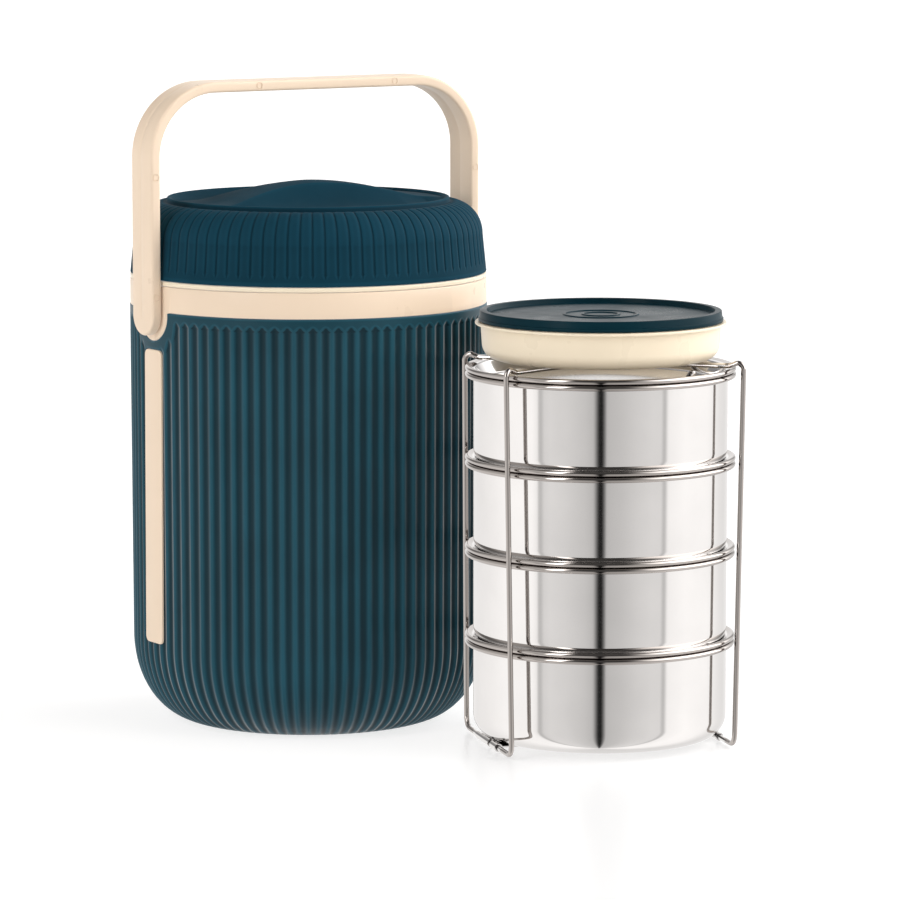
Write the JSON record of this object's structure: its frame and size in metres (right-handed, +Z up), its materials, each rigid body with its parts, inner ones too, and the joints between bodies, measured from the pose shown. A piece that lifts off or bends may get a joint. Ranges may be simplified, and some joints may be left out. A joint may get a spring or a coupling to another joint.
{
  "type": "tiffin carrier",
  "caption": "Insulated round lunch carrier with a swinging carry handle and lift-off lid, and its wire-caged stack of nesting steel pans with a small box on top.",
  "frame": {"origin": "middle of the casing's flat base, on the surface that it stands on", "axes": "+Z up along the casing's axis; X along the handle's pivots; the stack of pans stands towards +X and -Y"},
  "size_m": [0.2498, 0.2939, 0.3227],
  "materials": {
    "teal_plastic": "moulded, satin, fine vertical ribs",
    "dark_teal_plastic": "moulded, satin",
    "cream_plastic": "moulded, semi-gloss",
    "light_cream_plastic": "moulded, semi-gloss",
    "insulating_foam": "rigid foam, matt",
    "silicone_seal": "soft, matt",
    "brushed_steel": "brushed",
    "polished_steel": "polished stainless steel"
  },
  "bodies": {
    "casing": {"outer_shell": "teal_plastic", "base_cover": "teal_plastic", "casing_foam": "insulating_foam", "inner_liner": "brushed_steel", "collar": "cream_plastic", "side_strip_left": "cream_plastic", "side_strip_right": "cream_plastic"},
    "lid": {"lid_cover": "dark_teal_plastic", "lid_foam": "insulating_foam", "lid_inner_plate": "light_cream_plastic", "lid_seal": "silicone_seal"},
    "handle": {"handle": "cream_plastic"},
    "stack": {"cage_base_strap": "polished_steel", "pan_1": "polished_steel", "pan_2": "polished_steel", "pan_3": "polished_steel", "pan_4": "polished_steel", "pan_lid_1": "polished_steel", "pan_lid_2": "polished_steel", "pan_lid_3": "polished_steel", "pan_lid_4": "polished_steel"},
    "cage_left": {"cage_loop_left": "polished_steel"},
    "cage_right": {"cage_loop_right": "polished_steel"},
    "top_box": {"top_box": "light_cream_plastic"},
    "top_box_lid": {"top_box_lid": "dark_teal_plastic"}
  },
  "joints": [
    {"name": "handle_swing", "type": "hinge", "parent": "casing", "child": "handle", "pos_m": [0, 0, 0.2087], "axis": [1, 0, 0], "range_deg": [-115, 45]},
    {"name": "lid_lift", "type": "slide", "parent": "casing", "child": "lid", "axis": [0, 0, 1], "range_m": [0, 0.0215]},
    {"name": "stack_slide", "type": "slide", "parent": "casing", "child": "stack", "axis": [0.518, -0.8554, 0], "range_m": [0, 0.25]},
    {"name": "cage_left_swing", "type": "hinge", "parent": "stack", "child": "cage_left", "pos_m": [0.02977, -0.12143, 0.0021], "axis": [-0.2974, -0.9548, 0], "range_deg": [0, 88]},
    {"name": "cage_right_swing", "type": "hinge", "parent": "stack", "child": "cage_right", "pos_m": [0.13766, -0.15503, 0.0021], "axis": [0.2974, 0.9548, 0], "range_deg": [0, 88]},
    {"name": "top_box_lift", "type": "slide", "parent": "stack", "child": "top_box", "axis": [0, 0, 1], "range_m": [0, 0.09]},
    {"name": "top_box_lid_lift", "type": "slide", "parent": "top_box", "child": "top_box_lid", "axis": [0, 0, 1], "range_m": [0, 0.04]}
  ],
  "couplings": [
    {"joint": "cage_left_swing", "follows": "stack_slide", "rad_per_m": 6.14},
    {"joint": "cage_right_swing", "follows": "stack_slide", "rad_per_m": 6.14},
    {"joint": "top_box_lift", "follows": "stack_slide", "ratio": 0.36}
  ]
}
